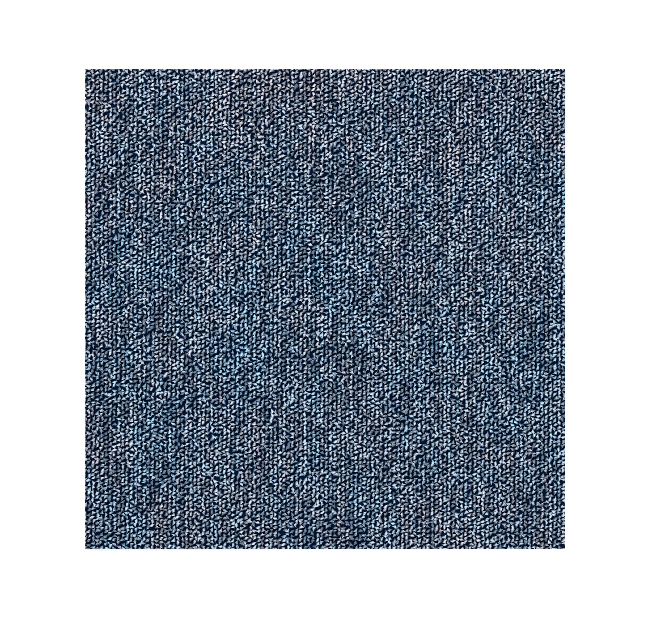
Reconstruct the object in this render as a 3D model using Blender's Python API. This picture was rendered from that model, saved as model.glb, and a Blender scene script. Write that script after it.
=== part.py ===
"""A square loop-pile carpet tile, lying flat on its backing with the pile up.

It has three pieces, from the floor up: a heavy backing slab, the thin primary backing cloth that
the yarn is tufted through, and the pile. The pile's yarn stands in straight rows along Y, so its
solid has one rounded ridge for each row. The origin is the middle of the underside, X runs
across the rows, Y along them and Z up. Lengths are in metres.
"""

import math

import bmesh
import bpy
from mathutils import Vector

# Driving dimensions
TILE_SIDE = 0.500
SLAB_THICKNESS = 0.0025
CLOTH_THICKNESS = 0.0005
PILE_HEIGHT = 0.0034
VALLEY_DEPTH = 0.0013
ROW_SPACING = 0.00442
SLAB_EDGE_RADIUS = 0.0003
BOND_GAP = 0.0003

# How finely the round stretches are stepped
RIDGE_STEPS = 6
EDGE_STEPS = 2

# Heights of the layers, each resting on the one below across a thin bond line
CLOTH_BOTTOM = SLAB_THICKNESS + BOND_GAP
PILE_BOTTOM = CLOTH_BOTTOM + CLOTH_THICKNESS + BOND_GAP
PILE_CREST = PILE_BOTTOM + PILE_HEIGHT
PILE_VALLEY = PILE_CREST - VALLEY_DEPTH

# A whole number of rows fills the tile from cut edge to cut edge
ROW_COUNT = round(TILE_SIDE / ROW_SPACING)
ROW_PITCH = TILE_SIDE / ROW_COUNT

YARN_BLUE = (0.115, 0.165, 0.235)
CLOTH_NAVY = (0.030, 0.036, 0.048)
BITUMEN_BLACK = (0.022, 0.022, 0.024)


def clear_scene():
    """Remove every object of the scene that the script starts in."""
    for existing in list(bpy.data.objects):
        bpy.data.objects.remove(existing, do_unlink=True)


def plain_material(name, colour, roughness):
    """Return a non-metallic material of one colour."""
    material = bpy.data.materials.new(name)
    material.use_nodes = True
    shader = material.node_tree.nodes["Principled BSDF"]
    shader.inputs["Base Color"].default_value = (*colour, 1.0)
    shader.inputs["Roughness"].default_value = roughness
    shader.inputs["Metallic"].default_value = 0.0
    return material


def object_from(shape, name, material):
    """Turn a finished bmesh into a named object with its material, and free the bmesh."""
    bmesh.ops.recalc_face_normals(shape, faces=shape.faces)
    mesh = bpy.data.meshes.new(name)
    shape.to_mesh(mesh)
    shape.free()
    mesh.materials.append(material)
    made = bpy.data.objects.new(name, mesh)
    bpy.context.scene.collection.objects.link(made)
    return made


def square_sheet(name, bottom, thickness, material):
    """Make a flat square sheet of the tile's size, with its underside at the height given."""
    shape = bmesh.new()
    size = Vector((TILE_SIDE, TILE_SIDE, thickness))
    bmesh.ops.create_cube(shape, size=1.0)
    bmesh.ops.scale(shape, vec=size, verts=shape.verts)
    made = object_from(shape, name, material)
    made.location.z = bottom + thickness / 2
    return made


def ridge_section(shape, row):
    """Add the cut end of one row to the shape: a flat foot with a rounded ridge above it."""
    half_pitch = ROW_PITCH / 2
    middle = -TILE_SIDE / 2 + (row + 0.5) * ROW_PITCH
    outline = [(middle + half_pitch, PILE_BOTTOM), (middle - half_pitch, PILE_BOTTOM)]
    for step in range(RIDGE_STEPS + 1):
        angle = math.pi * (1 - step / RIDGE_STEPS)
        across = middle + half_pitch * math.cos(angle)
        outline.append((across, PILE_VALLEY + VALLEY_DEPTH * math.sin(angle)))
    front = -TILE_SIDE / 2
    shape.faces.new([shape.verts.new((x, front, z)) for x, z in outline])


def build_slab():
    """Make the heavy slab that the tile lies on, with its cut edges slightly eased."""
    bitumen = plain_material("bitumen", BITUMEN_BLACK, 0.85)
    slab = square_sheet("backing_slab", 0.0, SLAB_THICKNESS, bitumen)
    easing = slab.modifiers.new("eased_edges", "BEVEL")
    easing.width = SLAB_EDGE_RADIUS
    easing.segments = EDGE_STEPS
    easing.limit_method = "ANGLE"
    return slab


def build_cloth():
    """Make the primary backing cloth, which holds the feet of the yarn."""
    cloth = plain_material("primary_cloth", CLOTH_NAVY, 0.95)
    return square_sheet("primary_backing", CLOTH_BOTTOM, CLOTH_THICKNESS, cloth)


def build_pile():
    """Make the pile: the cut ends of all rows side by side, extruded along the rows."""
    shape = bmesh.new()
    for row in range(ROW_COUNT):
        ridge_section(shape, row)
    bmesh.ops.remove_doubles(shape, verts=shape.verts, dist=ROW_PITCH / 1000)
    swept = bmesh.ops.extrude_face_region(shape, geom=shape.faces[:])
    far_end = [item for item in swept["geom"] if isinstance(item, bmesh.types.BMVert)]
    bmesh.ops.translate(shape, vec=(0.0, TILE_SIDE, 0.0), verts=far_end)
    yarn = plain_material("loop_yarn", YARN_BLUE, 0.9)
    pile = object_from(shape, "loop_pile", yarn)
    pile.data.shade_smooth()
    pile.data.set_sharp_from_angle(angle=math.radians(50))
    return pile


def main():
    """Build the tile from the floor up."""
    clear_scene()
    build_slab()
    build_cloth()
    build_pile()


main()
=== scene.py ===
"""Finish of a square loop-pile carpet tile that lies flat on a pale floor.

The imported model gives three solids: the backing slab, the primary backing cloth and the pile. The slab
and the cloth keep their shape and get their materials here. The pile is made anew, as its separate
yarn loops in rows along Y. X runs across the rows and Z up. Lengths are in metres.
"""

from __future__ import annotations

import logging
import math
from dataclasses import dataclass, field
from enum import Enum
from typing import Any

import bpy
import numpy as np
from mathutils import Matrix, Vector


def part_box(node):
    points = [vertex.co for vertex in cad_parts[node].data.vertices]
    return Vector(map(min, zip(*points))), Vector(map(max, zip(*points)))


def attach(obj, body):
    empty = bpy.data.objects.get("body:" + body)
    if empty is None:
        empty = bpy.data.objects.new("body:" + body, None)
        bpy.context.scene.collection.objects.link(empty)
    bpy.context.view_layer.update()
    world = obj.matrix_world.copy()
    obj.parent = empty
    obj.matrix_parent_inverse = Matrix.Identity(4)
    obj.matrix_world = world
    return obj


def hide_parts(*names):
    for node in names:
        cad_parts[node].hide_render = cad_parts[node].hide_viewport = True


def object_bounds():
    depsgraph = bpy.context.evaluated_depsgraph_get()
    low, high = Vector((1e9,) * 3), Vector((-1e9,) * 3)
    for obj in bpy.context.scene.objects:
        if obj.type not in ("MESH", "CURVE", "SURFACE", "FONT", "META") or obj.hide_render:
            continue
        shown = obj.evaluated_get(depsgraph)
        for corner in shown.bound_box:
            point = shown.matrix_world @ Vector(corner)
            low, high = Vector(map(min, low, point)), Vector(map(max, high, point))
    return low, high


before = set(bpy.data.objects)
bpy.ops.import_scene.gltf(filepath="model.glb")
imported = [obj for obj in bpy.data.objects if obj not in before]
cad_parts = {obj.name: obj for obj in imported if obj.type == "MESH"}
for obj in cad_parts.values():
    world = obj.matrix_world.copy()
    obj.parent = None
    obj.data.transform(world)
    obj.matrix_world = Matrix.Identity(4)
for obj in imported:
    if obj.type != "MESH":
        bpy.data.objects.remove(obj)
CAD_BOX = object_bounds()

LOG = logging.getLogger("carpet_tile")
BODY = "root"
MM = 0.001

# How exactly the loops are cut off along the tile's sides
CUT_EXACTNESS = 0.001 * MM

# How a loop's field of the map is shared out, from 0 to 1: its skin from MAP_EDGE on, and in a strip
# beyond it the faces that close a cut loop, with one place for each axis that it is cut across
MAP_EDGE = 0.04
SKIN_AROUND = 0.8
SKIN_LENGTH = 0.78
CUT_STRIP = 0.86
CUT_START = 0.1
CUT_STEP = 0.3
CUT_SIDE = 0.11

Triple = tuple[float, float, float]
Colour = Triple


class Signal:
    """A number socket of a shader that takes part in Python arithmetic."""

    def __init__(self, tree: bpy.types.NodeTree, socket: bpy.types.NodeSocket) -> None:
        """Wrap the output socket that holds the number, in its node tree."""
        self.tree = tree
        self.socket = socket

    def _math(self, operation: str, *operands: Any) -> Signal:
        """Add one Math node.

        Args:
            operation: the node's operation.
            operands: its inputs in order, as signals or plain numbers.

        Returns:
            The node's result.
        """
        node = self.tree.nodes.new("ShaderNodeMath")
        node.operation = operation
        for place, operand in zip(node.inputs, operands):
            if isinstance(operand, Signal):
                self.tree.links.new(operand.socket, place)
            else:
                place.default_value = operand
        return Signal(self.tree, node.outputs[0])

    def __add__(self, other: Any) -> Signal:
        """Return self + other."""
        return self._math("ADD", self, other)

    def __radd__(self, other: float) -> Signal:
        """Return other + self."""
        return self._math("ADD", other, self)

    def __sub__(self, other: Any) -> Signal:
        """Return self - other."""
        return self._math("SUBTRACT", self, other)

    def __rsub__(self, other: float) -> Signal:
        """Return other - self."""
        return self._math("SUBTRACT", other, self)

    def __mul__(self, other: Any) -> Signal:
        """Return self * other."""
        return self._math("MULTIPLY", self, other)

    def __truediv__(self, other: Any) -> Signal:
        """Return self / other."""
        return self._math("DIVIDE", self, other)

    def size(self) -> Signal:
        """Return the number without its sign."""
        return self._math("ABSOLUTE", self)

    def or_more(self, other: Any) -> Signal:
        """Return the greater of the number and another."""
        return self._math("MAXIMUM", self, other)

    def above(self, limit: float) -> Signal:
        """Return 1 where the number is over the limit and 0 elsewhere."""
        return self._math("GREATER_THAN", self, limit)

    def between(self, low: float, high: float) -> Signal:
        """Return 0 at low and 1 at high, in a straight line between and level beyond."""
        share = (self - low) / (high - low)
        share.socket.node.use_clamp = True
        return share


class Recipe:
    """The node tree of one material, with the few kinds of step that the finishes are made of."""

    def __init__(self, name: str) -> None:
        """Start a material of this name."""
        self.material = bpy.data.materials.new(name)
        self.material.use_nodes = True
        self.tree = self.material.node_tree
        self.shader = self.tree.nodes["Principled BSDF"]

    def node(self, kind: str, settings: dict[str, Any] | None = None, **inputs: Any) -> bpy.types.Node:
        """Add a node.

        Args:
            kind: the node's type.
            settings: its own properties, set before the sockets. "stops" holds a ramp's stops, as
                pairs of a place and a colour.
            inputs: values, signals or sockets for its inputs, by name with _ for a space.

        Returns:
            The new node.
        """
        made = self.tree.nodes.new(kind)
        for name, value in (settings or {}).items():
            if name == "stops":
                self._set_stops(made.color_ramp, value)
            else:
                setattr(made, name, value)
        for name, value in inputs.items():
            self.feed(made.inputs[name.replace("_", " ")], value)
        return made

    def feed(self, place: bpy.types.NodeSocket, value: Any) -> None:
        """Give an input socket its value, or link it to the signal or socket that holds it."""
        if isinstance(value, Signal):
            self.tree.links.new(value.socket, place)
        elif isinstance(value, bpy.types.NodeSocket):
            self.tree.links.new(value, place)
        elif isinstance(value, tuple) and len(value) == 3 and place.type == "RGBA":
            place.default_value = (*value, 1.0)
        else:
            place.default_value = value

    @staticmethod
    def _set_stops(ramp: bpy.types.ColorRamp, stops: tuple[tuple[float, Colour], ...]) -> None:
        """Give a ramp its stops, in order of place."""
        while len(ramp.elements) < len(stops):
            ramp.elements.new(1.0)
        for element, (place, colour) in zip(ramp.elements, stops):
            element.position = place
            element.color = (*colour, 1.0)

    def signal(self, socket: bpy.types.NodeSocket) -> Signal:
        """Return the socket as a number that takes part in arithmetic."""
        return Signal(self.tree, socket)

    def attribute(self, name: str) -> bpy.types.NodeSocket:
        """Return the vector that the mesh holds under this name."""
        return self.node("ShaderNodeAttribute", {"attribute_name": name}).outputs["Vector"]

    def object_place(self) -> bpy.types.NodeSocket:
        """Return the place in the tile's own frame."""
        return self.node("ShaderNodeTexCoord").outputs["Object"]

    def parts_of(self, vector: bpy.types.NodeSocket) -> list[Signal]:
        """Return the three numbers of a vector."""
        split = self.node("ShaderNodeSeparateXYZ", Vector=vector)
        return [self.signal(socket) for socket in split.outputs]

    def stretched(self, vector: bpy.types.NodeSocket, factors: Triple) -> bpy.types.NodeSocket:
        """Return the vector with each of its parts times its own factor."""
        node = self.node("ShaderNodeVectorMath", {"operation": "MULTIPLY"})
        self.feed(node.inputs[0], vector)
        self.feed(node.inputs[1], factors)
        return node.outputs[0]

    def noise(self, vector: Any, scale: float, detail: float = 2.0, variant: Any = 0.0) -> Signal:
        """Make smooth noise.

        Args:
            vector: the place that it is read at.
            scale: how many of its waves go into one unit.
            detail: how many finer layers it has.
            variant: a number that gives each of its values another pattern.

        Returns:
            The noise, from 0 to 1.
        """
        inputs = {"Vector": vector, "Scale": scale, "Detail": detail, "W": variant}
        made = self.node("ShaderNodeTexNoise", {"noise_dimensions": "4D"}, **inputs)
        return self.signal(made.outputs[0])

    def run(self, place: Signal) -> list[Signal]:
        """Cut a line into uneven runs, one unit long on average, and return each run's three draws."""
        cells = self.node("ShaderNodeTexVoronoi", {"voronoi_dimensions": "1D"}, W=place, Scale=1.0)
        return self.parts_of(cells.outputs["Color"])

    def fleece(
        self, place: bpy.types.NodeSocket, waves: float, slim: float, levels: tuple[float, float]
    ) -> Signal:
        """Return how much fibre there is, from 0 to 1, where flat fibres cross each other."""
        one_way = self.noise(self.stretched(place, (1.0, slim, 1.0)), waves)
        other_way = self.noise(self.stretched(place, (slim, 1.0, 1.0)), waves)
        return (one_way * other_way * 2.0).between(*levels)

    def mix(self, share: Any, first: Any, second: Any, blend: str = "MIX") -> bpy.types.NodeSocket:
        """Mix two colours.

        Args:
            share: how much of the second colour, from 0 to 1.
            first: the first colour.
            second: the second colour.
            blend: how they are blended.

        Returns:
            The mixed colour.
        """
        # The node has a pair of sockets for each type of data, and those for colours are 6 and 7
        node = self.node("ShaderNodeMix", {"data_type": "RGBA", "blend_type": blend})
        self.feed(node.inputs[0], share)
        self.feed(node.inputs[6], first)
        self.feed(node.inputs[7], second)
        return node.outputs[2]

    def ramp(self, place: Signal, stops: tuple[tuple[float, Colour], ...]) -> bpy.types.NodeSocket:
        """Return the colour that a ramp has at a place from 0 to 1."""
        return self.node("ShaderNodeValToRGB", {"stops": stops}, Fac=place).outputs[0]

    def bump(self, height: Signal, depth: float) -> bpy.types.NodeSocket:
        """Return a normal that is bent by a height from 0 to 1, which stands for the depth given."""
        return self.node("ShaderNodeBump", Height=height, Distance=depth, Strength=1.0).outputs[0]

    def finish(self, **inputs: Any) -> bpy.types.Material:
        """Feed the shader's inputs by name, with _ for a space, and return the material."""
        for name, value in inputs.items():
            self.feed(self.shader.inputs[name.replace("_", " ")], value)
        return self.material


@dataclass(frozen=True)
class YarnFinish:
    """Two-ply bulked nylon, space-dyed in short lengths from navy to pale blue.

    Attributes:
        shades: the dye's colours, each with its place between dark and light.
        painted_depth_shade: painted shade that a dye shade is multiplied by, darkest at the yarn's foot
            and none at its crest.
        painted_slope_shade: painted shade that it is also multiplied by, darkest where the yarn's side
            is upright and none where it is level.
        mauve_cast: what a shade is multiplied by in the warmest lengths.
        cyan_cast: the same in the coldest ones.
        short_run: how many stitches one shade runs for on average.
        long_run: the same for the slower change.
        patch: the size of the patches of one cast.
        swathe: the size of the slower changes of the cast.
        clump: the size of the clumps that the filaments are bulked into.
        filament: the width of a bundle of filaments.
        painted_shade_depth: how far below its crest the painted depth shade reaches, where it is
            darkest.
        rim: how near the tile's sides the painted slope shade begins to be lifted.
        relief: how deep the clumps and filaments are.
        roughness: the least and the most.
        base_shade: the shade before anything is added.
        run_weights: how much the short and the long runs add to the shade.
        bulk_weights: how much the clumps and the filaments change it.
        broad_cast: how much the patches add to the cast, and the swathes too.
        run_casts: how much the short and the long runs add to it.
        end_cast: how much of it is lost towards the tile's ends.
        cast_middle: how far short of the tile's middle it is strongest, in half sides.
        cast_range: the sums that are fully mauve and fully cyan.
        rim_shade_lift: how much the painted slope shade is lightened at the tile's sides, as if the
            yarn's sides there were that much more level.
        row_steps: how far apart two rows are in the short and in the long runs.
        ply_step: the same for the two plies in the short runs.
        loop_step: the same for two loops' clumps, at most.
        slim: the width of a bundle of filaments as a share of its length.
        clump_relief: how much of the relief comes from the clumps.
    """

    shades: tuple[tuple[float, Colour], ...] = (
        (0.08, (0.092, 0.122, 0.166)),
        (0.34, (0.196, 0.233, 0.277)),
        (0.60, (0.307, 0.355, 0.405)),
        (0.98, (0.395, 0.441, 0.493)),
    )
    # Painted shade deep in the pile: place 0 is the yarn's foot, 1 its crest, which is unshaded
    painted_depth_shade: tuple[tuple[float, Colour], ...] = (
        (0.00, (0.035, 0.110, 0.225)),
        (0.25, (0.210, 0.275, 0.355)),
        (0.50, (0.450, 0.500, 0.550)),
        (0.75, (0.800, 0.820, 0.840)),
        (1.00, (1.000, 1.000, 1.000)),
    )
    # Painted shade on steep sides: places are how far the yarn's side faces up, and a level side is
    # unshaded
    painted_slope_shade: tuple[tuple[float, Colour], ...] = (
        (0.10, (0.042, 0.115, 0.215)),
        (0.50, (0.255, 0.315, 0.380)),
        (0.80, (0.590, 0.630, 0.670)),
        (0.98, (1.000, 1.000, 1.000)),
    )
    mauve_cast: Colour = (1.18, 0.95, 0.90)
    cyan_cast: Colour = (0.72, 1.01, 1.14)
    short_run: float = 2.4
    long_run: float = 7.0
    patch: float = 11.0 * MM
    swathe: float = 55.0 * MM
    clump: float = 1.35 * MM
    filament: float = 0.24 * MM
    painted_shade_depth: float = 3.4 * MM
    rim: float = 1.5 * MM
    relief: float = 0.30 * MM
    roughness: tuple[float, float] = (0.62, 0.88)
    base_shade: float = -0.19
    run_weights: tuple[float, float] = (0.74, 0.54)
    bulk_weights: tuple[float, float] = (1.7, 0.35)
    broad_cast: float = 0.35
    run_casts: tuple[float, float] = (0.1, 0.2)
    end_cast: float = 0.15
    cast_middle: float = 0.2
    cast_range: tuple[float, float] = (0.1, 0.8)
    rim_shade_lift: float = 0.25
    row_steps: tuple[float, float] = (17.31, 5.77)
    ply_step: float = 0.4
    loop_step: float = 60.0
    slim: float = 0.25
    clump_relief: float = 0.6

    def _broad(self, recipe: Recipe, shape: Triple, size: float) -> Signal:
        """Return blotches of this size from 0 to 1, longer where the shape's part is small."""
        place = recipe.stretched(recipe.object_place(), shape)
        return recipe.noise(place, 1.0 / size, 1.0).between(0.3, 0.7)

    def _cast(self, recipe: Recipe, runs: Signal, shift: Signal) -> bpy.types.NodeSocket:
        """Work out how warm or cold the dye is.

        Args:
            recipe: the material's nodes.
            runs: what the short and the long runs add.
            shift: how far off the tile's middle the place is, along the rows, in half sides.

        Returns:
            The colour that the shade is multiplied by.
        """
        patches = self._broad(recipe, (1.0, 0.4, 0.0), self.patch)
        swathes = self._broad(recipe, (1.0, 0.6, 0.0), self.swathe)
        hue = patches * self.broad_cast + swathes * self.broad_cast + runs
        off_middle = shift + self.cast_middle
        hue = hue - off_middle * off_middle * self.end_cast
        return recipe.mix(hue.between(*self.cast_range), self.mauve_cast, self.cyan_cast)

    def _shadow(self, recipe: Recipe, crest: float, half_side: float) -> bpy.types.NodeSocket:
        """Work out the painted shade on the yarn, darker deep in the pile and on steep sides.

        Args:
            recipe: the material's nodes.
            crest: the height of the pile's top.
            half_side: half the tile's side.

        Returns:
            The painted shade, as a colour that the dye is multiplied by.
        """
        x, y, z = recipe.parts_of(recipe.object_place())
        # Painted shade, darker towards the yarn's foot
        depth = recipe.ramp(z.between(crest - self.painted_shade_depth, crest), self.painted_depth_shade)
        # Painted shade on steep sides, lifted along the tile's sides
        facing = recipe.parts_of(recipe.node("ShaderNodeNewGeometry").outputs["Normal"])[2]
        rim_lift_mask = x.size().or_more(y.size()).between(half_side - self.rim, half_side - self.rim / 2)
        slope_shade = recipe.ramp(facing + rim_lift_mask * self.rim_shade_lift, self.painted_slope_shade)
        return recipe.mix(1.0, depth, slope_shade, "MULTIPLY")

    def material(self, crest: float, half_side: float) -> bpy.types.Material:
        """Build the yarn's material.

        Args:
            crest: the height of the pile's top.
            half_side: half the tile's side.

        Returns:
            The finished material, which reads the loops' tuft and strand attributes.
        """
        recipe = Recipe("pile_yarn")
        row, along, chance = recipe.parts_of(recipe.attribute("tuft"))
        strand = recipe.attribute("strand")
        second_ply = recipe.parts_of(strand)[1].above(0.0)
        short_step, long_step = self.row_steps
        short = recipe.run(along / self.short_run + row * short_step + second_ply * self.ply_step)
        long = recipe.run(along / self.long_run + row * long_step)
        clumps = recipe.noise(strand, 1.0 / self.clump, 0.0, chance * self.loop_step)
        lengthwise = recipe.stretched(strand, (self.slim, 1.0, 1.0))
        filaments = recipe.noise(lengthwise, 1.0 / self.filament, 1.0, chance)
        shade = short[0] * self.run_weights[0] + long[0] * self.run_weights[1] + self.base_shade
        for bulk, weight in zip((clumps, filaments), self.bulk_weights):
            shade = shade + (bulk - 0.5) * weight
        runs = long[1] * self.run_casts[1] + short[1] * self.run_casts[0]
        shift = recipe.parts_of(recipe.object_place())[1] / half_side
        cast = self._cast(recipe, runs, shift)
        dye = recipe.mix(1.0, recipe.ramp(shade, self.shades), cast, "MULTIPLY")
        relief = filaments * (1.0 - self.clump_relief) + clumps * self.clump_relief
        low, high = self.roughness
        # The yarn's colour is its dye times the painted shade from _shadow
        return recipe.finish(
            Base_Color=recipe.mix(1.0, dye, self._shadow(recipe, crest, half_side), "MULTIPLY"),
            Roughness=filaments * (high - low) + low,
            Normal=recipe.bump(relief, self.relief),
            Specular_IOR_Level=0.0,
        )


@dataclass(frozen=True)
class ClothFinish:
    """Thin non-woven cloth, stiff with dark latex.

    Attributes:
        ground: the colour of the latex between the fibres.
        fibre: the fibres' colour.
        fibre_waves: how many fibres go into a metre.
        slim: their width as a share of their length.
        relief: how far they stand out.
    """

    ground: Colour = (0.0003, 0.0050, 0.022)
    fibre: Colour = (0.0012, 0.0100, 0.038)
    fibre_waves: float = 2600.0
    slim: float = 0.15
    relief: float = 0.05 * MM

    def material(self) -> bpy.types.Material:
        """Build the cloth's material, from flat fibres that cross in all directions."""
        recipe = Recipe("primary_cloth")
        fibres = recipe.fleece(recipe.object_place(), self.fibre_waves, self.slim, (0.3, 0.8))
        return recipe.finish(
            Base_Color=recipe.mix(fibres, self.ground, self.fibre),
            Roughness=0.95 - fibres * 0.2,
            Normal=recipe.bump(fibres, self.relief),
            Specular_IOR_Level=0.0,
        )


@dataclass(frozen=True)
class BitumenFinish:
    """Filled bitumen compound, cut clean at the edges, with a fleece on its underside.

    Attributes:
        compound: the bitumen's colour.
        filler: the colour of the mineral grains in it.
        fleece: the colour of the fleece on the underside.
        glass: the colour of the glass fleece inside, which shows on the cut edges.
        grain_relief: how far grains and fibres stand out.
        grain_waves: how many lumps of the compound go into a metre.
        speck_waves: how many mineral grains do.
        fibre_waves: how many fibres do.
        slim: the fibres' width as a share of their length.
        glass_height: how high over the floor the glass fleece lies.
        glass_half: half its thickness.
        glass_waves: how many gaps its line has in a metre.
    """

    compound: Colour = (0.016, 0.016, 0.018)
    filler: Colour = (0.060, 0.060, 0.062)
    fleece: Colour = (0.075, 0.078, 0.082)
    glass: Colour = (0.20, 0.21, 0.21)
    grain_relief: float = 0.08 * MM
    grain_waves: float = 1800.0
    speck_waves: float = 5200.0
    fibre_waves: float = 1500.0
    slim: float = 0.12
    glass_height: float = 1.4 * MM
    glass_half: float = 0.07 * MM
    glass_waves: float = 900.0

    def material(self) -> bpy.types.Material:
        """Build the slab's material, with its grain, its glass fleece and the fleece below."""
        recipe = Recipe("bitumen_backing")
        place = recipe.object_place()
        geometry = recipe.node("ShaderNodeNewGeometry")
        below = (0.0 - recipe.parts_of(geometry.outputs["Normal"])[2]).above(0.7)
        grain = recipe.noise(place, self.grain_waves, 4.0)
        specks = recipe.noise(place, self.speck_waves).between(0.62, 0.72)
        cut = recipe.mix(specks, self.compound, self.filler)
        height = recipe.parts_of(place)[2]
        offset = (height - self.glass_height) / self.glass_half
        layer = 1.0 - (offset * offset).between(0.3, 1.0)
        unbroken = recipe.noise(place, self.glass_waves).between(0.35, 0.6)
        cut = recipe.mix(layer * unbroken, cut, self.glass)
        fibres = recipe.fleece(place, self.fibre_waves, self.slim, (0.35, 0.75))
        colour = recipe.mix(below, cut, recipe.mix(fibres, self.compound, self.fleece))
        relief = below * fibres + (1.0 - below) * grain
        return recipe.finish(
            Base_Color=colour,
            Roughness=0.75 + grain * 0.2,
            Normal=recipe.bump(relief, self.grain_relief),
        )


@dataclass(frozen=True)
class LatexFinish:
    """Dark latex that locks the yarn's feet and bonds the cloth to the slab.

    Attributes:
        colour: the latex's colour.
        bloom: its colour on the tops of its lumps.
        lump_waves: how many lumps go into a metre.
        relief: how far they stand out.
    """

    colour: Colour = (0.018, 0.020, 0.026)
    bloom: Colour = (0.045, 0.048, 0.055)
    lump_waves: float = 1400.0
    relief: float = 0.06 * MM

    def material(self) -> bpy.types.Material:
        """Build the latex's material, slightly glossy and lumpy."""
        recipe = Recipe("bonding_latex")
        lumps = recipe.noise(recipe.object_place(), self.lump_waves, 3.0)
        return recipe.finish(
            Base_Color=recipe.mix(lumps, self.colour, self.bloom),
            Roughness=0.45 + lumps * 0.3,
            Normal=recipe.bump(lumps, self.relief),
        )


@dataclass(frozen=True)
class FloorFinish:
    """Matt white paint with hardly any grain.

    Attributes:
        paint: its colour.
        shade: the colour that its grain is mixed with.
        grain_waves: how many of the grain's waves go into a metre.
        grain_share: how much of the shade there is at most.
    """

    paint: Colour = (0.80, 0.80, 0.80)
    shade: Colour = (0.7, 0.7, 0.7)
    grain_waves: float = 120.0
    grain_share: float = 0.03

    def material(self) -> bpy.types.Material:
        """Build the floor's material."""
        recipe = Recipe("studio_floor")
        grain = recipe.noise(recipe.object_place(), self.grain_waves)
        return recipe.finish(
            Base_Color=recipe.mix(grain * self.grain_share, self.paint, self.shade),
            Roughness=0.9,
            Specular_IOR_Level=0.1,
        )


def start_editing(*pieces: bpy.types.Object) -> None:
    """Leave only these pieces selected, with the last one active."""
    if bpy.context.object and bpy.context.object.mode != "OBJECT":
        bpy.ops.object.mode_set(mode="OBJECT")
    bpy.ops.object.select_all(action="DESELECT")
    for piece in pieces:
        piece.select_set(True)
        bpy.context.view_layer.objects.active = piece


def edit_all() -> None:
    """Go into edit mode with everything selected."""
    bpy.ops.object.mode_set(mode="EDIT")
    bpy.ops.mesh.select_all(action="SELECT")


def finish_editing() -> None:
    """Turn every face outwards and leave edit mode."""
    bpy.ops.mesh.select_all(action="SELECT")
    bpy.ops.mesh.normals_make_consistent(inside=False)
    bpy.ops.object.mode_set(mode="OBJECT")


def lay_sheet(name: str, side: float, height: float) -> bpy.types.Object:
    """Add a level square sheet over the origin, in edit mode, and return it."""
    start_editing()
    bpy.ops.mesh.primitive_plane_add(size=side, location=(0.0, 0.0, height))
    sheet = bpy.context.object
    sheet.name = sheet.data.name = name
    bpy.ops.object.transform_apply(location=True, rotation=True, scale=True)
    edit_all()
    return sheet


def wear(piece: bpy.types.Object, material: bpy.types.Material) -> None:
    """Give a piece one material, in place of any that it has."""
    piece.data.materials.clear()
    piece.data.materials.append(material)


@dataclass(frozen=True)
class Stance:
    """How a loop stands in the pile, in shares of its reach and height.

    Attributes:
        bulge: how far the arch's shoulders stand out past its feet.
        rise: how high its crest comes.
        fall: how far its crest leans over to one side.
        swirl: how far its two shoulders are turned against each other.
        roll: how far the yarn is turned about itself, in degrees, so that its plies lie side by side.
    """

    bulge: float
    rise: float
    fall: float
    swirl: float
    roll: float


class LoopForm(Enum):
    """The forms of loop that the pile is tufted from."""

    UPRIGHT = Stance(bulge=1.7, rise=1.00, fall=0.0, swirl=0.0, roll=-25.0)
    SQUASHED = Stance(bulge=2.1, rise=0.98, fall=0.05, swirl=-0.1, roll=-5.0)
    FALLEN = Stance(bulge=1.9, rise=0.98, fall=0.35, swirl=0.0, roll=35.0)
    SWIRLED = Stance(bulge=1.6, rise=1.00, fall=0.0, swirl=0.3, roll=90.0)
    TURNED_BACK = Stance(bulge=1.7, rise=0.98, fall=0.1, swirl=-0.3, roll=10.0)
    HALF_FALLEN = Stance(bulge=1.9, rise=1.00, fall=-0.2, swirl=0.1, roll=95.0)


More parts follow.
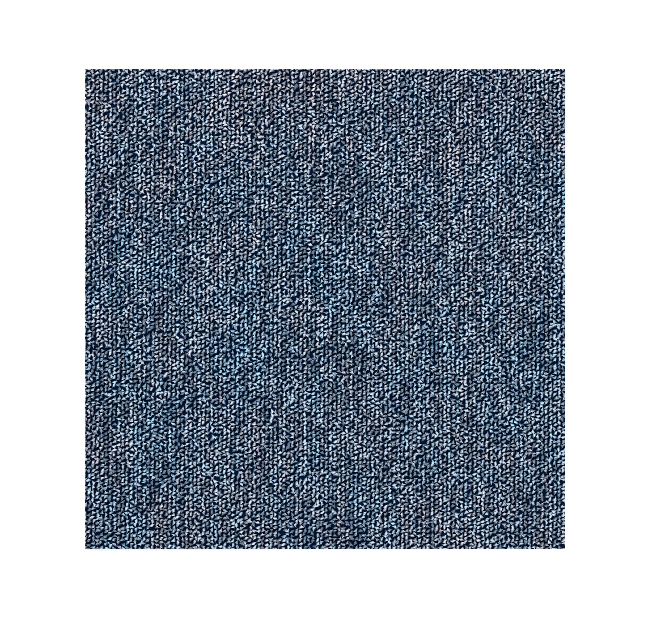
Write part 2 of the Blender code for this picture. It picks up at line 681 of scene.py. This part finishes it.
@dataclass
class YarnLoop:
    """One loop of two-ply yarn: a straight length is modelled, twisted and bent into an arch.

    Attributes:
        form: how the loop stands.
        width: the yarn's width across its two plies, which lie side by side.
        thickness: the plies' thickness.
        waist: the yarn's thickness in the groove between the plies, as a share of theirs.
        reach: half the distance between the middles of the feet.
        height: from the feet to the top of the crest.
        twist: how far the plies twist round each other from foot to foot, in degrees.
        sides: how many sides the yarn has.
        spans: the stretches from foot to foot, in shares of the yarn's length.
        swells: the yarn's size at the end of each stretch; the legs swell to fill the pile.
    """

    form: LoopForm
    width: float = 3.7 * MM
    thickness: float = 2.45 * MM
    waist: float = 0.29
    reach: float = 1.30 * MM
    height: float = 3.7 * MM
    twist: float = 100.0
    sides: int = 8
    spans: tuple[float, ...] = (0.18, 0.20, 0.24, 0.20, 0.18)
    swells: tuple[float, ...] = (1.7, 1.0, 1.0, 1.7, 1.0)

    def _arch(self) -> bpy.types.Object:
        """Draw the curve that the middle of the yarn follows."""
        stance = self.form.value
        start_editing()
        bpy.ops.curve.primitive_bezier_curve_add(location=(0.0, 0.0, 0.0))
        arch = bpy.context.object
        spline = arch.data.splines[0]
        spline.resolution_u = 24
        crest = (self.height * stance.rise - self.thickness / 2) * 4 / 3
        shoulder = self.reach * stance.bulge
        lean = self.height * stance.fall
        turn = self.height * stance.swirl
        for point, side in zip(spline.bezier_points, (-1, 1)):
            point.handle_left_type = point.handle_right_type = "FREE"
            foot = Vector((side * self.reach, 0.0, 0.0))
            knee = Vector((side * shoulder, lean + side * turn, crest))
            point.co = foot
            point.tilt = math.radians(stance.roll)
            point.handle_right = knee if side < 0 else 2 * foot - knee
            point.handle_left = knee if side > 0 else 2 * foot - knee
        return arch

    def _straight_yarn(self, length: float) -> bpy.types.Object:
        """Model a straight yarn along X, with a groove between its plies and pointed ends."""
        start_editing()
        upright = (0.0, math.pi / 2, 0.0)
        bpy.ops.mesh.primitive_circle_add(
            vertices=self.sides, radius=self.width / 2, fill_type="NGON", rotation=upright
        )
        yarn = bpy.context.object
        bpy.ops.object.transform_apply(location=False, rotation=True, scale=False)
        for vertex in yarn.data.vertices:
            vertex.select = abs(vertex.co.y) < self.width / 10
        bpy.ops.object.mode_set(mode="EDIT")
        bpy.ops.mesh.select_mode(type="VERT")
        lobe = math.cos(math.tau / self.sides)
        bpy.ops.transform.resize(value=(1.0, 1.0, self.waist * lobe))
        bpy.ops.mesh.select_all(action="SELECT")
        bpy.ops.transform.resize(value=(1.0, 1.0, self.thickness / self.width / lobe))
        before = 1.0
        for share, swell in zip(self.spans, self.swells):
            bpy.ops.mesh.extrude_region_move(
                TRANSFORM_OT_translate={"value": (length * share, 0.0, 0.0)}
            )
            bpy.ops.transform.resize(value=(1.0, swell / before, swell / before))
            before = swell
        bpy.ops.mesh.merge(type="CENTER")
        bpy.ops.mesh.select_all(action="DESELECT")
        bpy.ops.object.mode_set(mode="OBJECT")
        for vertex in yarn.data.vertices:
            vertex.select = vertex.co.x < length * self.spans[0] / 2
        bpy.ops.object.mode_set(mode="EDIT")
        bpy.ops.mesh.merge(type="CENTER")
        finish_editing()
        return yarn

    def model(self) -> tuple[np.ndarray, np.ndarray, list[list[int]]]:
        """Model the loop.

        Returns:
            Its points, the same points on the straight yarn, and its faces.
        """
        arch = self._arch()
        length = arch.data.splines[0].calc_length()
        yarn = self._straight_yarn(length)
        rest = np.array([vertex.co for vertex in yarn.data.vertices])
        start_editing(yarn)
        twist = yarn.modifiers.new("ply_twist", "SIMPLE_DEFORM")
        twist.deform_method = "TWIST"
        twist.deform_axis = "X"
        twist.angle = math.radians(self.twist)
        bend = yarn.modifiers.new("arch", "CURVE")
        bend.object = arch
        bend.deform_axis = "POS_X"
        for modifier in (twist.name, bend.name):
            bpy.ops.object.modifier_apply(modifier=modifier)
        points = np.array([vertex.co for vertex in yarn.data.vertices])
        points[:, 2] *= self.height * self.form.value.rise / points[:, 2].max()
        faces = [list(face.vertices) for face in yarn.data.polygons]
        for made in (yarn, arch):
            bpy.data.objects.remove(made, do_unlink=True)
        return points, rest, faces


@dataclass(frozen=True)
class Seat:
    """Where one loop of the tufting pattern sits, and how its arch is turned.

    Attributes:
        across: how far it stands off its row's middle line.
        along: its distance from the start of the repeat, along the row.
        turn: the arch's direction, in degrees from X towards Y.
    """

    across: float
    along: float
    turn: float


@dataclass(frozen=True)
class Spread:
    """How much something differs from loop to loop.

    Attributes:
        deviation: its standard deviation.
        least: how far it goes down at most.
        most: how far it goes up at most.
    """

    deviation: float
    least: float
    most: float

    def draw(self, chance: np.random.Generator, shape: tuple[int, ...]) -> np.ndarray:
        """Draw chance numbers of this spread around 0."""
        return chance.normal(0.0, self.deviation, shape).clip(self.least, self.most)


@dataclass
class LoopPile:
    """The pile: rows of yarn loops, in joined pieces of a few rows each.

    Attributes:
        repeat_across: two rows, after which the tufting pattern repeats.
        repeat_along: two stitches, after which it repeats.
        first_row: the first row's middle line, from the tile's left side.
        seats: the pattern's loops, for its first and its second row.
        bands: how many pieces the pile is joined into.
        seed: where the pile's chance numbers start.
        place_spread: how far a loop sits off its place.
        turn_spread: how far its arch is turned off its direction, in degrees.
        height_spread: how much its height differs, as a share.
        bulk_spread: how much its width and length differ, as shares.
        lean_spread: how far it leans, as a share of its height.
        skin_spread: how uneven its skin is.
        stitch_gap: the yarn between two loops, under the cloth.
        sunk: how deep the loops' feet are in the cloth.
        headroom: how far the loops' mean crest stays under the tile's top.
        overhang: how far outside the tile's sides a loop still reaches in from.
    """

    repeat_across: float = 8.826 * MM
    repeat_along: float = 8.921 * MM
    first_row: float = -0.27 * MM
    seats: tuple[tuple[Seat, Seat], tuple[Seat, Seat]] = (
        (Seat(-0.26 * MM, 2.81 * MM, 27.0), Seat(0.26 * MM, 7.53 * MM, 6.0)),
        (Seat(-0.16 * MM, 0.22 * MM, 1.0), Seat(0.16 * MM, 4.73 * MM, -14.0)),
    )
    bands: int = 8
    seed: int = 20
    place_spread: Spread = Spread(0.30 * MM, -0.80 * MM, 0.80 * MM)
    turn_spread: Spread = Spread(34.0, -180.0, 180.0)
    height_spread: Spread = Spread(0.020, -0.25, 0.04)
    bulk_spread: Spread = Spread(0.04, -0.22, 0.22)
    lean_spread: Spread = Spread(0.15, -0.5, 0.5)
    skin_spread: Spread = Spread(0.11 * MM, -0.22 * MM, 0.22 * MM)
    stitch_gap: float = 1.0 * MM
    sunk: float = 0.08 * MM
    headroom: float = 0.20 * MM
    overhang: float = 2.2 * MM
    finish: YarnFinish = field(default_factory=YarnFinish)

    def _layout(self, half_side: float) -> dict[str, np.ndarray]:
        """Work out where every loop sits.

        Args:
            half_side: half the tile's side.

        Returns:
            For every loop its row, its stitch, its place across and along, and its turn in degrees.
        """
        found = {name: [] for name in ("row", "stitch", "x", "y", "turn")}
        row_pitch = self.repeat_across / 2
        for row in range(math.ceil((2 * half_side + self.overhang) / row_pitch)):
            middle = -half_side + self.first_row + row * row_pitch
            for repeat in range(-1, math.ceil(2 * half_side / self.repeat_along) + 1):
                for step, seat in enumerate(self.seats[row % 2]):
                    x = middle + seat.across
                    y = half_side - repeat * self.repeat_along - seat.along
                    if max(abs(x), abs(y)) < half_side + self.overhang:
                        loop = (row, 2 * repeat + step, x, y, seat.turn)
                        for name, value in zip(found, loop):
                            found[name].append(value)
        return {name: np.array(values, float) for name, values in found.items()}

    def _place(self, shapes: np.ndarray, seats: dict[str, np.ndarray], foot: float) -> np.ndarray:
        """Copy the loop forms to their seats, each copy turned, sized and bent a little by chance.

        Args:
            shapes: the points of each form, one after the other.
            seats: what _layout returns.
            foot: the height of the loops' feet.

        Returns:
            The points of every loop.
        """
        chance = np.random.default_rng(self.seed)
        count = len(seats["x"])
        points = shapes[chance.integers(0, len(shapes), count)].copy()
        points[:, :, :2] *= chance.choice((-1.0, 1.0), count)[:, None, None]
        size = 1.0 + self.bulk_spread.draw(chance, (count, 1, 3))
        size[:, :, 2] = 1.0 + self.height_spread.draw(chance, (count, 1))
        points = points * size
        points[:, :, :2] += self.lean_spread.draw(chance, (count, 1, 2)) * points[:, :, 2:]
        angle = np.radians(seats["turn"] + self.turn_spread.draw(chance, (count,)))
        cos, sin = np.cos(angle)[:, None], np.sin(angle)[:, None]
        x = points[:, :, 0] * cos - points[:, :, 1] * sin
        y = points[:, :, 0] * sin + points[:, :, 1] * cos
        offset = self.place_spread.draw(chance, (2, count, 1))
        points[:, :, 0] = x + seats["x"][:, None] + offset[0]
        points[:, :, 1] = y + seats["y"][:, None] + offset[1]
        points[:, :, 2] += foot
        return points + self.skin_spread.draw(chance, points.shape)

    def build(self) -> list[bpy.types.Object]:
        """Model the loop forms, copy them over the tile and join them.

        Returns:
            The pile's pieces, from left to right.
        """
        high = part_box("loop_pile")[1]
        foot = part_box("primary_backing")[1].z - self.sunk
        crest = high.z - self.headroom
        models = [YarnLoop(form, height=crest - foot).model() for form in LoopForm]
        shapes = np.array([points for points, _, _ in models])
        rest = np.array([strand for _, strand, _ in models]).mean(0)
        faces = models[0][2]
        seats = self._layout(high.x)
        points = self._place(shapes, seats, foot)
        draws = np.random.default_rng(self.seed + 1).random(len(points))
        material = self.finish.material(crest, high.x)
        pieces = []
        edges = np.linspace(0, seats["row"].max() + 1, self.bands + 1).round()
        for number, (start, end) in enumerate(zip(edges, edges[1:]), 1):
            chosen = (seats["row"] >= start) & (seats["row"] < end)
            yarn_place = seats["stitch"][chosen] * (rest[:, 0].max() + self.stitch_gap)
            strand = rest[None] + np.stack([yarn_place, 0 * yarn_place, 0 * yarn_place], 1)[:, None]
            tuft = np.stack([seats["row"], seats["stitch"], draws], 1)[chosen]
            tuft = np.repeat(tuft[:, None], points.shape[1], 1)
            piece = self._join(f"pile_rows_{number}", points[chosen], faces, strand, tuft)
            self._trim(piece, high)
            self._map_cuts(piece.data, chosen.sum())
            wear(piece, material)
            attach(piece, BODY)
            pieces.append(piece)
        for piece in pieces:
            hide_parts("loop_pile")
        return pieces

    def _join(
        self, name: str, points: np.ndarray, faces: list[list[int]], strand: np.ndarray, tuft: np.ndarray
    ) -> bpy.types.Object:
        """Join loops into one piece.

        Args:
            name: the piece's name.
            points: the points of every loop.
            faces: one loop's faces.
            strand: every point's place on the straight yarn.
            tuft: every point's row, stitch and its loop's chance number.

        Returns:
            The piece, with a map that gives every loop a field of its own.
        """
        count, per_loop = points.shape[:2]
        corners = np.concatenate([np.array(face) for face in faces])
        totals = np.array([len(face) for face in faces])
        starts = np.concatenate([[0], totals.cumsum()[:-1]])
        step = np.arange(count)[:, None]
        mesh = bpy.data.meshes.new(name)
        mesh.vertices.add(count * per_loop)
        mesh.loops.add(count * len(corners))
        mesh.polygons.add(count * len(faces))
        mesh.vertices.foreach_set("co", points.astype(np.float32).ravel())
        ends = (corners + step * per_loop).astype(np.int32)
        mesh.loops.foreach_set("vertex_index", ends.ravel())
        firsts = (starts + step * len(corners)).astype(np.int32)
        mesh.polygons.foreach_set("loop_start", firsts.ravel())
        mesh.update(calc_edges=True)
        mesh.validate()
        for label, values in (("strand", strand), ("tuft", tuft)):
            made = mesh.attributes.new(label, "FLOAT_VECTOR", "POINT")
            made.data.foreach_set("vector", values.astype(np.float32).ravel())
        local = self._skin_map(faces, strand[0])
        per_side = math.ceil(math.sqrt(count))
        fields = np.stack([step[:, 0] % per_side, step[:, 0] // per_side], 1)
        skin = (local[None] + fields[:, None]) / per_side
        layer = mesh.uv_layers.new(name="OFBake")
        layer.uv.foreach_set("vector", skin.astype(np.float32).ravel())
        mesh.polygons.foreach_set("use_smooth", np.ones(len(mesh.polygons), bool))
        piece = bpy.data.objects.new(name, mesh)
        bpy.context.scene.collection.objects.link(piece)
        return piece

    def _skin_map(self, faces: list[list[int]], strand: np.ndarray) -> np.ndarray:
        """Unroll one loop's skin.

        Args:
            faces: its faces.
            strand: its points on the straight yarn.

        Returns:
            The map's place of each face corner, from 0 to 1.
        """
        around = (np.arctan2(strand[:, 2], strand[:, 1]) / math.tau + 0.01) % 1.0
        length = (strand[:, 0] - strand[:, 0].min()) / np.ptp(strand[:, 0])
        ends = np.hypot(strand[:, 1], strand[:, 2]) < 0.01 * MM
        places = []
        for face in faces:
            turn = around[face]
            ring = turn[~ends[face]]
            turn = np.where((np.ptp(ring) > 0.5) & (turn < 0.5), turn + 1.0, turn)
            turn = np.where(ends[face], turn[~ends[face]].mean(), turn)
            for corner, angle in zip(face, turn):
                places.append((SKIN_AROUND * angle, SKIN_LENGTH * length[corner]))
        return MAP_EDGE + np.array(places)

    def _trim(self, piece: bpy.types.Object, corner: Vector) -> None:
        """Cut a piece off along the tile's sides, and close each cut loop.

        Args:
            piece: the piece.
            corner: the tile's far right corner.
        """
        mesh = piece.data
        for axis in (0, 1):
            for side in (-1, 1):
                limit = corner[axis]
                co = np.empty(len(mesh.vertices) * 3, np.float32)
                mesh.vertices.foreach_get("co", co)
                out = side * co.reshape(-1, 3)[:, axis] > limit
                if not out.any():
                    continue
                start_editing(piece)
                bpy.ops.object.mode_set(mode="EDIT")
                bpy.ops.mesh.select_mode(type="FACE")
                bpy.ops.mesh.select_all(action="SELECT")
                normal = [float(side) if part == axis else 0.0 for part in range(3)]
                plane = [limit * part for part in normal]
                bpy.ops.mesh.bisect(
                    plane_co=plane, plane_no=normal, clear_outer=True, threshold=CUT_EXACTNESS
                )
                bpy.ops.mesh.fill_holes(sides=0)
                bpy.ops.object.mode_set(mode="OBJECT")

    def _map_cuts(self, mesh: bpy.types.Mesh, count: int) -> None:
        """Give the faces that close the cut loops a place in the free strip of their loop's field.

        Args:
            mesh: the trimmed mesh.
            count: how many loops the map holds.
        """
        per_side = math.ceil(math.sqrt(count))
        layer = mesh.uv_layers["OFBake"].uv
        skin = np.empty(len(layer) * 2, np.float32)
        layer.foreach_get("vector", skin)
        skin = skin.reshape(-1, 2)
        corners = np.empty(len(layer), np.int32)
        mesh.loops.foreach_get("vertex_index", corners)
        mapped = skin.any(1)
        fields = np.zeros((len(mesh.vertices), 2))
        fields[corners[mapped]] = np.floor(skin[mapped] * per_side)
        for face in mesh.polygons:
            if mapped[face.loop_start]:
                continue
            side = int(np.argmax(np.abs(face.normal)))
            flat = [axis for axis in range(3) if axis != side]
            points = np.array([mesh.vertices[index].co for index in face.vertices])[:, flat]
            local = (points - points.min(0)) / max(np.ptp(points, 0).max(), self.sunk)
            corner = np.array([CUT_START + CUT_STEP * side, CUT_STRIP])
            places = slice(face.loop_start, face.loop_start + face.loop_total)
            skin[places] = (fields[face.vertices[0]] + corner + local * CUT_SIDE) / per_side
        layer.foreach_set("vector", skin.ravel())


@dataclass
class LatexBond:
    """The latex between the cloth and the slab, which shows only as a line along the cut edges.

    Attributes:
        inset: how far its edge stays back from the tile's sides.
        overlap: how far it goes into the layers above and below.
        waves: how many points each side's uneven edge has.
        wave_depth: how far the edge goes in at most.
        seed: where its chance numbers start.
    """

    inset: float = 0.25 * MM
    overlap: float = 0.05 * MM
    waves: int = 90
    wave_depth: float = 0.12 * MM
    seed: int = 5
    finish: LatexFinish = field(default_factory=LatexFinish)

    def build(self) -> bpy.types.Object:
        """Model the bond as a thin sheet with an uneven edge, and return it."""
        slab_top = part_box("backing_slab")[1]
        cloth_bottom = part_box("primary_backing")[0].z
        thickness = cloth_bottom - slab_top.z + 2 * self.overlap
        side = 2 * (slab_top.x - self.inset)
        bond = lay_sheet("latex_bond", side, slab_top.z - self.overlap)
        bpy.ops.mesh.delete(type="ONLY_FACE")
        bpy.ops.mesh.select_all(action="SELECT")
        bpy.ops.mesh.subdivide(number_cuts=self.waves)
        bpy.ops.object.mode_set(mode="OBJECT")
        self._ruffle(bond, side / 2)
        edit_all()
        bpy.ops.mesh.edge_face_add()
        bpy.ops.mesh.extrude_region_move(TRANSFORM_OT_translate={"value": (0.0, 0.0, thickness)})
        finish_editing()
        wear(bond, self.finish.material())
        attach(bond, BODY)
        return bond

    def _ruffle(self, bond: bpy.types.Object, half_side: float) -> None:
        """Move the outline's points inwards by chance, so that the bond's edge is uneven."""
        chance = np.random.default_rng(self.seed)
        for vertex in bond.data.vertices:
            for axis in (0, 1):
                if abs(abs(vertex.co[axis]) - half_side) < 0.01 * MM:
                    step = chance.uniform(0.0, self.wave_depth)
                    vertex.co[axis] -= math.copysign(step, vertex.co[axis])


@dataclass
class Backing:
    """The two layers that keep their CAD shape, and their finishes."""

    cloth: ClothFinish = field(default_factory=ClothFinish)
    slab: BitumenFinish = field(default_factory=BitumenFinish)

    def dress(self) -> list[bpy.types.Object]:
        """Give both layers their materials, and return them."""
        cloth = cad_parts["primary_backing"]
        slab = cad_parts["backing_slab"]
        wear(cloth, self.cloth.material())
        wear(slab, self.slab.material())
        return [cloth, slab]


@dataclass(frozen=True)
class Lamp:
    """A square soft lamp that shines on the tile.

    Attributes:
        name: its name.
        place: where it hangs.
        side: its side.
        power: its power in watts.
    """

    name: str
    place: Triple
    side: float
    power: float

    def hang(self) -> bpy.types.Object:
        """Hang the lamp, and return it."""
        light = bpy.data.lights.new(self.name, "AREA")
        light.shape = "SQUARE"
        light.size = self.side
        light.energy = self.power
        lamp = bpy.data.objects.new(self.name, light)
        lamp.location = self.place
        lamp.rotation_euler = (-Vector(self.place)).to_track_quat("-Z", "Y").to_euler()
        lamp.visible_camera = False
        bpy.context.scene.collection.objects.link(lamp)
        return lamp


@dataclass
class Studio:
    """The pale floor, the soft light and the camera that looks straight down.

    Attributes:
        picture: the picture's width and height in pixels.
        tile_pixels: how many pixels wide the tile is in it.
        lens: the camera's focal length in mm.
        floor_side: the floor's side.
        floor_thickness: its thickness.
        floor_gap: how far under the tile it lies, so that their faces don't meet.
        lamps: the stronger lamp and the weaker one.
        sky: the strength of the even light from all round.
        sight: how far the camera sees.
    """

    picture: tuple[int, int] = (650, 618)
    tile_pixels: int = 480
    lens: float = 300.0
    floor_side: float = 14.0
    floor_thickness: float = 0.02
    floor_gap: float = 0.05 * MM
    lamps: tuple[Lamp, Lamp] = (
        Lamp("key_lamp", (-1.9, 1.9, 2.2), 1.6, 187.0),
        Lamp("fill_lamp", (2.4, -1.8, 2.6), 2.4, 150.0),
    )
    sky: float = 0.92
    sight: float = 100.0
    finish: FloorFinish = field(default_factory=FloorFinish)

    def lay_floor(self) -> bpy.types.Object:
        """Model the floor as a broad slab just under the tile, and return it."""
        floor = lay_sheet("studio_floor", self.floor_side, -self.floor_gap)
        down = (0.0, 0.0, -self.floor_thickness)
        bpy.ops.mesh.extrude_region_move(TRANSFORM_OT_translate={"value": down})
        finish_editing()
        wear(floor, self.finish.material())
        return floor

    def light(self) -> None:
        """Light the tile from the far left, with a weaker lamp opposite and an even sky."""
        for lamp in self.lamps:
            lamp.hang()
        world = bpy.data.worlds.new("studio_sky")
        world.use_nodes = True
        background = world.node_tree.nodes["Background"].inputs
        background["Strength"].default_value = self.sky
        background["Color"].default_value = (1.0, 1.0, 1.0, 1.0)
        bpy.context.scene.world = world
        bpy.context.scene.view_settings.view_transform = "Standard"
        bpy.context.scene.cycles.use_denoising = False
        bpy.context.scene.cycles.filter_width = 0.5

    def aim_camera(self) -> bpy.types.Object:
        """Hang the camera over the tile, so far up that the tile has its width in the picture."""
        top = CAD_BOX[1]
        view_width = 2 * top.x * self.picture[0] / self.tile_pixels
        data = bpy.data.cameras.new("camera")
        data.lens = self.lens
        camera = bpy.data.objects.new("camera", data)
        distance = view_width * self.lens / data.sensor_width
        camera.location = (0.0, 0.0, top.z + distance)
        data.clip_end = self.sight
        bpy.context.scene.collection.objects.link(camera)
        bpy.context.scene.camera = camera
        return camera


def main() -> None:
    """Build the pile, dress the backing and set up the studio."""
    logging.basicConfig(level=logging.INFO, format="%(name)s: %(message)s")
    for piece in Backing().dress():
        LOG.info("dressed %s", piece.name)
    bond = LatexBond().build()
    LOG.info("built %s, %d faces", bond.name, len(bond.data.polygons))
    for piece in LoopPile().build():
        LOG.info("built %s, %d faces", piece.name, len(piece.data.polygons))
    studio = Studio()
    LOG.info("laid %s", studio.lay_floor().name)
    studio.light()
    LOG.info("aimed %s", studio.aim_camera().name)


if __name__ == "__main__":
    main()
